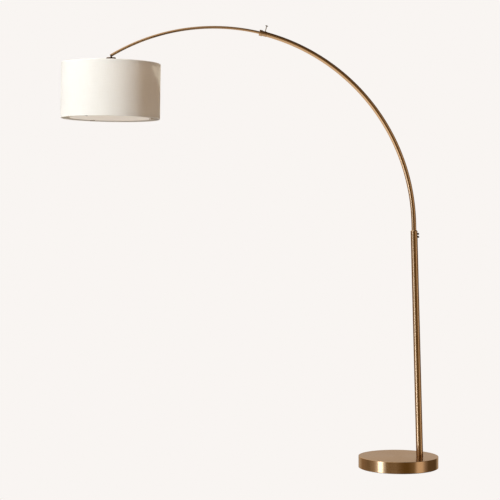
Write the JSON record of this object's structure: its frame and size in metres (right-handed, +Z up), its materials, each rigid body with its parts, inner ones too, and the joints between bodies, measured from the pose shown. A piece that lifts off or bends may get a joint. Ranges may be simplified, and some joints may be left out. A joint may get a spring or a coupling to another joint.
{
  "type": "arc floor lamp",
  "caption": "Floor lamp with a weighted disc base, a straight post, a telescoping curved arm and a drum shade on a tilting swivel.",
  "frame": {"origin": "centre of the underside of the round base", "axes": "+Z up; the arc lies in the XZ plane and leans over towards -X; +Y is the back, where the supply cord enters"},
  "size_m": [1.7419, 0.4572, 2.0415],
  "materials": {
    "antique_brass": "brushed antique brass plating on steel, satin lacquer",
    "dark_bronze": "dark aged brass, satin",
    "cast_concrete": "cast cement, rough",
    "black_steel": "black powder coat",
    "zinc_steel": "zinc plate",
    "foam_pad": "dense black foam pad, matt",
    "black_rubber": "moulded rubber, matt",
    "black_nylon": "moulded nylon, matt",
    "lead_jacket": "flexible vinyl jacket",
    "phenolic": "moulded phenolic",
    "plated_brass": "bright stamped brass",
    "nickel_cap": "drawn aluminium, bright",
    "frosted_glass": "acid-frosted bulb glass",
    "white_linen": "off-white plain-weave linen, laminated",
    "styrene_liner": "white styrene lining",
    "shade_wire": "white enamelled steel wire",
    "opal_acrylic": "opal acrylic, satin"
  },
  "bodies": {
    "stand": {"base_shell": "antique_brass", "base_weight": "cast_concrete", "base_plate": "black_steel", "plate_screws": "zinc_steel", "floor_pad": "foam_pad", "cord_gland": "black_rubber", "foot_nipple": "zinc_steel", "foot_washer": "zinc_steel", "lock_washer": "zinc_steel", "foot_nut": "zinc_steel", "foot_plug": "zinc_steel", "post_tube": "antique_brass", "top_bush": "antique_brass", "lower_bush": "black_nylon", "stand_lead": "lead_jacket"},
    "upper_knob_tip": {"upper_knob_pad": "black_nylon"},
    "upper_knob_screw": {"upper_knob": "dark_bronze"},
    "lower_knob_tip": {"lower_knob_pad": "black_nylon"},
    "lower_knob_screw": {"lower_knob": "dark_bronze"},
    "lower_arc": {"lower_arc_tube": "antique_brass", "clamp_collar": "antique_brass", "collar_liner": "black_nylon", "spigot_grommet": "black_rubber", "lower_arc_lead": "lead_jacket"},
    "tee_screw_tip": {"tee_screw_pad": "black_nylon"},
    "tee_screw_handle": {"tee_screw": "zinc_steel"},
    "upper_arc": {"upper_arc_tube": "antique_brass", "slide_shoe": "black_nylon", "tip_fork": "antique_brass", "pivot_screw": "dark_bronze", "pivot_nut": "dark_bronze", "swivel_washers": "black_nylon", "upper_arc_lead": "lead_jacket"},
    "lamp_head": {"swivel_tang": "dark_bronze", "stub_nut": "zinc_steel", "socket_cup": "dark_bronze", "lampholder": "phenolic", "thread_shell": "plated_brass", "centre_contact": "plated_brass", "ring_nut": "phenolic", "bulb_cap": "nickel_cap", "bulb_glass": "frosted_glass", "shade_fabric": "white_linen", "shade_liner": "styrene_liner", "shade_spider": "shade_wire", "bottom_ring": "shade_wire", "diffuser": "opal_acrylic", "diffuser_clips": "dark_bronze", "diffuser_pins": "dark_bronze", "head_lead": "lead_jacket"}
  },
  "joints": [
    {"name": "arc_swivel", "type": "hinge", "parent": "stand", "child": "lower_arc", "pos_m": [0.07233, 0, 1.09167], "axis": [-0.0253, 0, 0.9997], "range_deg": [-90, 90]},
    {"name": "arc_telescope", "type": "hinge", "parent": "lower_arc", "child": "upper_arc", "pos_m": [-0.85336, 0, 1.10725], "axis": [0, 1, 0], "range_deg": [-4, 20]},
    {"name": "head_tilt", "type": "hinge", "parent": "upper_arc", "child": "lamp_head", "pos_m": [-1.32521, 0, 1.90285], "axis": [0, 1, 0], "range_deg": [-20, 20]},
    {"name": "upper_knob_travel", "type": "slide", "parent": "stand", "child": "upper_knob_tip", "axis": [0.9997, 0, 0.0253], "range_m": [0, 0.0008]},
    {"name": "upper_knob_turn", "type": "hinge", "parent": "upper_knob_tip", "child": "upper_knob_screw", "pos_m": [0.07267, 0, 1.07827], "axis": [0.9997, 0, 0.0253], "range_deg": [0, 360]},
    {"name": "lower_knob_travel", "type": "slide", "parent": "stand", "child": "lower_knob_tip", "axis": [0.9997, 0, 0.0253], "range_m": [0, 0.0008]},
    {"name": "lower_knob_turn", "type": "hinge", "parent": "lower_knob_tip", "child": "lower_knob_screw", "pos_m": [0.07303, 0, 1.06438], "axis": [0.9997, 0, 0.0253], "range_deg": [0, 360]},
    {"name": "tee_screw_travel", "type": "slide", "parent": "lower_arc", "child": "tee_screw_tip", "axis": [0.2554, 0, 0.9668], "range_m": [0, 0.0008]},
    {"name": "tee_screw_turn", "type": "hinge", "parent": "tee_screw_tip", "child": "tee_screw_handle", "pos_m": [-0.61714, 0, 2.00158], "axis": [0.2554, 0, 0.9668], "range_deg": [0, 360]}
  ],
  "couplings": [
    {"joint": "upper_knob_turn", "follows": "upper_knob_travel", "rad_per_m": 7854},
    {"joint": "lower_knob_turn", "follows": "lower_knob_travel", "rad_per_m": 7854},
    {"joint": "tee_screw_turn", "follows": "tee_screw_travel", "rad_per_m": 7854}
  ]
}
